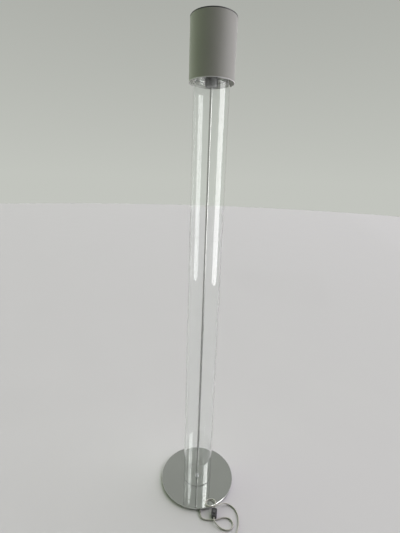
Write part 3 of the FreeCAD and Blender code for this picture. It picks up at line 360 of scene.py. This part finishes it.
def plain_weave(nodes):
    """The height of crossed threads, about 2 mm apart."""
    weave = nodes.add("ShaderNodeMath", operation="MULTIPLY")
    for direction, socket in zip(("Z", "X"), weave.inputs):
        thread = nodes.add("ShaderNodeTexWave", wave_type="BANDS",
                           bands_direction=direction)
        thread.inputs["Scale"].default_value = WEAVE_SCALE
        thread.inputs["Distortion"].default_value = 0.6
        thread.inputs["Detail"].default_value = 1
        nodes.link(nodes.place(), thread.inputs["Vector"])
        nodes.link(thread.outputs["Fac"], socket)
    return weave.outputs[0]


def laminate(name, color, lining, lining_radius):
    """Cloth laminated on film: a fine weave under a dull surface. The outside is written
    darker than the paler inside, as painted shade of a shade lit from behind.
    """
    material = new_material(name, color, 0.62, Sheen_Weight=0.15, Sheen_Roughness=0.5)
    nodes = Nodes(material)
    broad = nodes.noise(7, detail=4, stretch=(1, 1, 0.4))
    across = nodes.add("ShaderNodeVectorMath", operation="LENGTH")
    nodes.link(nodes.place((1, 1, 0)), across.inputs[0])
    outside = nodes.add("ShaderNodeMath", operation="GREATER_THAN")
    nodes.link(across.outputs["Value"], outside.inputs[0])
    outside.inputs[1].default_value = lining_radius
    # Painted shade: the outside gets the darker colour and the inside the paler lining.
    mix = nodes.add("ShaderNodeMix", data_type="RGBA")
    nodes.link(outside.outputs[0], mix.inputs["Factor"])
    nodes.link(nodes.ramp(broad, dark=shaded(lining, 0.96), light=shaded(lining, 1.03)),
               mix.inputs[MIX_COLOR_A])
    nodes.link(nodes.ramp(broad, dark=shaded(color, 0.95), light=shaded(color, 1.04)),
               mix.inputs[MIX_COLOR_B])
    nodes.link_shader(mix.outputs[MIX_COLOR_RESULT], "Base Color")
    nodes.bump(plain_weave(nodes), strength=0.2, distance=0.0001)
    return material


def felt_cloth(name, color):
    """Pressed fibres, lighter where they stand up."""
    material = new_material(name, color, 0.95, Sheen_Weight=0.3)
    nodes = Nodes(material)
    fibres = nodes.noise(900, detail=4)
    nodes.link_shader(nodes.ramp(fibres, dark=shaded(color, 0.6),
                                 light=shaded(color, 1.5)), "Base Color")
    nodes.bump(fibres, strength=0.6, distance=0.0004)
    return material


# One finish for each material slot. A mottled one has its colour, roughness, grains per
# metre and depth of grain.
FINISHES = {
    "mirror_steel": (mirror_metal, (0.74, 0.755, 0.74)),
    "dark_felt": (felt_cloth, (0.02, 0.02, 0.02)),
    "clear_rubber": (mottled, (0.10, 0.10, 0.10), 0.45, 300, 0.00005),
    "zinc": (mottled, (0.68, 0.68, 0.69), 0.34, 260),
    "grey_rubber": (mottled, (0.16, 0.16, 0.145), 0.6, 420, 0.00006),
    "cord_grey": (mottled, (0.40, 0.40, 0.345), 0.42, 320, 0.00003),
    "clear_acrylic": (clear_plastic, (0.985, 0.995, 0.99), 0.012),
    # The rod's chrome is written a dark grey: painted reflection of a dark room in front
    # of it.
    "rod_chrome": (drawn_metal, (0.41, 0.41, 0.40), 0.24),
    "core_plastic": (mottled, (0.10, 0.055, 0.03), 0.4, 300),
    "holder_plastic": (mottled, (0.13, 0.13, 0.13), 0.42, 350, 0.00005),
    "ceramic": (mottled, (0.72, 0.70, 0.64), 0.35, 200),
    "brass": (drawn_metal, (0.72, 0.52, 0.22), 0.3),
    "bulb_metal": (drawn_metal, (0.62, 0.62, 0.63), 0.3),
    "black_glass": (mottled, (0.012, 0.012, 0.012), 0.12, 200),
    "opal_glass": (mottled, (0.80, 0.80, 0.77), 0.25, 60),
    # The shade's outside colour is painted shade: a mid grey standing in for an off-white
    # shade lit from behind. The lining is the paler inside.
    "shade_laminate": (laminate, (0.262, 0.27, 0.228), (0.62, 0.62, 0.57),
                       LINING_RADIUS),
    "dark_edge": (mottled, (0.03, 0.03, 0.03), 0.4, 300),
    "pale_edge": (mottled, (0.58, 0.58, 0.56), 0.4, 300),
    "white_wire": (mottled, (0.70, 0.70, 0.68), 0.35, 500, 0.00004),
    "switch_plastic": (mottled, (0.055, 0.055, 0.055), 0.42, 520, 0.00005),
    "rocker_plastic": (mottled, (0.085, 0.085, 0.085), 0.34, 520, 0.00004),
    "plug_plastic": (mottled, (0.24, 0.24, 0.215), 0.42, 420, 0.00005),
    "pin_metal": (mottled, (0.62, 0.60, 0.56), 0.2, 250),
}
EXTRA_SETTINGS = {
    "zinc": {"metallic": 1.0},
    "opal_glass": {"Coat_Weight": 0.4},
    "pin_metal": {"metallic": 1.0},
}
MATERIALS = {name: make(name, *values, **EXTRA_SETTINGS.get(name, {}))
             for name, (make, *values) in FINISHES.items()}


def dress_nodes():
    for part in frame["record"]["subparts"]:
        materials = frame["nodes"][part["node"]].data.materials
        materials.clear()
        materials.append(MATERIALS[part["material_slot"]])
    for piece in flex_pieces:
        piece.data.materials.append(MATERIALS["cord_grey"])


dress_nodes()


# Room: pale floor, daylight, pale surroundings, and a window that only polished and
# clear things show.

FLOOR_RADIUS = 14
FLOOR_SIDES = 64
FLOOR_COLOR = (0.53, 0.53, 0.515)
SURROUND = (0.54, 0.555, 0.515)
UPPER_ROOM = 0.5
UPPER_ROOM_HEIGHT = 0.9

# Daylight from each direction: an even part, and what each slope adds.
DAYLIGHT = (1.10, 1.13, 1.06)
RIGHTWARD_DAYLIGHT = (1.10, 0.84, 1.30)
REAR_DAYLIGHT = (2.1, 2.0, 2.2)
OVERHEAD_DAYLIGHT = (-1.0, -1.0, -1.0)
SIDE_DAYLIGHT = (1.5, 1.5, 1.5)

WINDOW_PLACE = (2.115, -0.606, 1.56)
WINDOW_TARGET = (0, 0, 1.56)
WINDOW_WIDTH = 1.6
WINDOW_HEIGHT = 2.88
WINDOW_POWER = 58


def make_floor():
    mesh = bpy.data.meshes.new("floor")
    angles = [2 * math.pi * index / FLOOR_SIDES for index in range(FLOOR_SIDES)]
    corners = [(FLOOR_RADIUS * math.cos(angle), FLOOR_RADIUS * math.sin(angle), 0)
               for angle in angles]
    mesh.from_pydata(corners, [], [tuple(range(FLOOR_SIDES))])
    floor = bpy.data.objects.new("floor", mesh)
    scene.collection.objects.link(floor)
    mesh.materials.append(mottled("floor_paint", FLOOR_COLOR, 0.8, 30, variation=0.015))


def make_world():
    """Daylight, most from behind and from the right, in a pale room."""
    world = bpy.data.worlds.new("room")
    scene.world = world
    world.use_nodes = True
    tree = world.node_tree
    tree.nodes.clear()

    def operate(kind, operation, *inputs):
        """A math node's result: its inputs are numbers, vectors or other results."""
        node = tree.nodes.new(kind)
        node.operation = operation
        for socket, value in zip(node.inputs, inputs):
            if isinstance(value, bpy.types.NodeSocket):
                tree.links.new(value, socket)
            else:
                socket.default_value = value
        return node.outputs[0]

    direction = tree.nodes.new("ShaderNodeTexCoord").outputs["Generated"]
    height = tree.nodes.new("ShaderNodeSeparateXYZ")
    tree.links.new(direction, height.inputs[0])
    rightward, rearward, upward = height.outputs
    sideways = operate("ShaderNodeMath", "MULTIPLY", rightward, rightward)
    daylight = DAYLIGHT
    for part, slope in ((rightward, RIGHTWARD_DAYLIGHT), (rearward, REAR_DAYLIGHT),
                        (upward, OVERHEAD_DAYLIGHT), (sideways, SIDE_DAYLIGHT)):
        along = tree.nodes.new("ShaderNodeCombineXYZ")
        for socket in along.inputs:
            tree.links.new(part, socket)
        daylight = operate("ShaderNodeVectorMath", "MULTIPLY_ADD", along.outputs[0],
                           slope, daylight)
    daylight = operate("ShaderNodeVectorMath", "MAXIMUM", daylight, (0, 0, 0))
    light = tree.nodes.new("ShaderNodeBackground")
    tree.links.new(daylight, light.inputs["Color"])

    fade = tree.nodes.new("ShaderNodeMapRange")
    for socket, value in (("From Min", 0), ("From Max", UPPER_ROOM_HEIGHT),
                          ("To Min", 1), ("To Max", UPPER_ROOM)):
        fade.inputs[socket].default_value = value
    tree.links.new(upward, fade.inputs["Value"])
    backdrop = tree.nodes.new("ShaderNodeBackground")
    backdrop.inputs["Color"].default_value = (*SURROUND, 1)
    tree.links.new(fade.outputs["Result"], backdrop.inputs["Strength"])

    rays = tree.nodes.new("ShaderNodeLightPath").outputs
    mirrored = operate("ShaderNodeMath", "MAXIMUM", rays["Is Glossy Ray"],
                       rays["Is Transmission Ray"])
    seen = operate("ShaderNodeMath", "MAXIMUM", rays["Is Camera Ray"], mirrored)
    mix = tree.nodes.new("ShaderNodeMixShader")
    output = tree.nodes.new("ShaderNodeOutputWorld")
    tree.links.new(seen, mix.inputs["Fac"])
    tree.links.new(light.outputs[0], mix.inputs[1])
    tree.links.new(backdrop.outputs[0], mix.inputs[2])
    tree.links.new(mix.outputs[0], output.inputs["Surface"])


def make_window():
    """An upright lamp, seen in what is polished or clear, that lights no dull surface."""
    data = bpy.data.lights.new("window_right", "AREA")
    data.shape = "RECTANGLE"
    data.size = WINDOW_WIDTH
    data.size_y = WINDOW_HEIGHT
    data.energy = WINDOW_POWER
    lamp = bpy.data.objects.new("window_right", data)
    scene.collection.objects.link(lamp)
    lamp.location = WINDOW_PLACE
    facing = Vector(WINDOW_TARGET) - Vector(WINDOW_PLACE)
    lamp.rotation_mode = "QUATERNION"
    lamp.rotation_quaternion = facing.to_track_quat("-Z", "Y")
    lamp.visible_diffuse = False


make_floor()
make_world()
make_window()

scene.view_settings.view_transform = "Standard"

bpy.context.view_layer.update()
